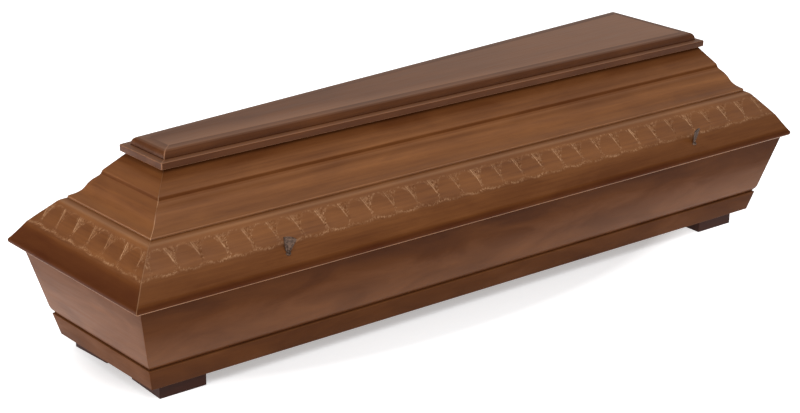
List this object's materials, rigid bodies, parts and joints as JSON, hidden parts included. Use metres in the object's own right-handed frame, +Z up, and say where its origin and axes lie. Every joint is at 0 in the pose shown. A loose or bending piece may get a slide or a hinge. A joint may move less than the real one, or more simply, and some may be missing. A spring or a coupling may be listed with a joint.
{
  "type": "wooden coffin",
  "caption": "Tapered wooden coffin with leaning walls, routed plinth band, moulded lift-off lid with a pressed relief band and winged screws, on corner blocks.",
  "frame": {"origin": "middle of the rim rectangle, on the ground under the support blocks", "axes": "+X from the foot end to the head end, +Y to the left side, +Z up"},
  "size_m": [2, 0.75, 0.521],
  "materials": {
    "stained_base": "satin brown stain",
    "dark_blocks": "dark brown stain",
    "stained_lid": "satin brown stain",
    "antique_metal": "antiqued die-cast metal"
  },
  "bodies": {
    "root": {"base_right_side": "stained_base", "base_left_side": "stained_base", "base_foot_end": "stained_base", "base_head_end": "stained_base", "base_floor": "stained_base", "support_block_foot_right": "dark_blocks", "support_block_foot_left": "dark_blocks", "support_block_head_right": "dark_blocks", "support_block_head_left": "dark_blocks", "lid_lower_right": "stained_lid", "lid_lower_left": "stained_lid", "lid_lower_foot": "stained_lid", "lid_lower_head": "stained_lid", "lid_upper_right": "stained_lid", "lid_upper_left": "stained_lid", "lid_upper_foot": "stained_lid", "lid_upper_head": "stained_lid", "lid_top_board": "stained_lid", "screw_foot_right": "antique_metal", "screw_foot_left": "antique_metal", "screw_head_right": "antique_metal", "screw_head_left": "antique_metal"}
  },
  "joints": []
}
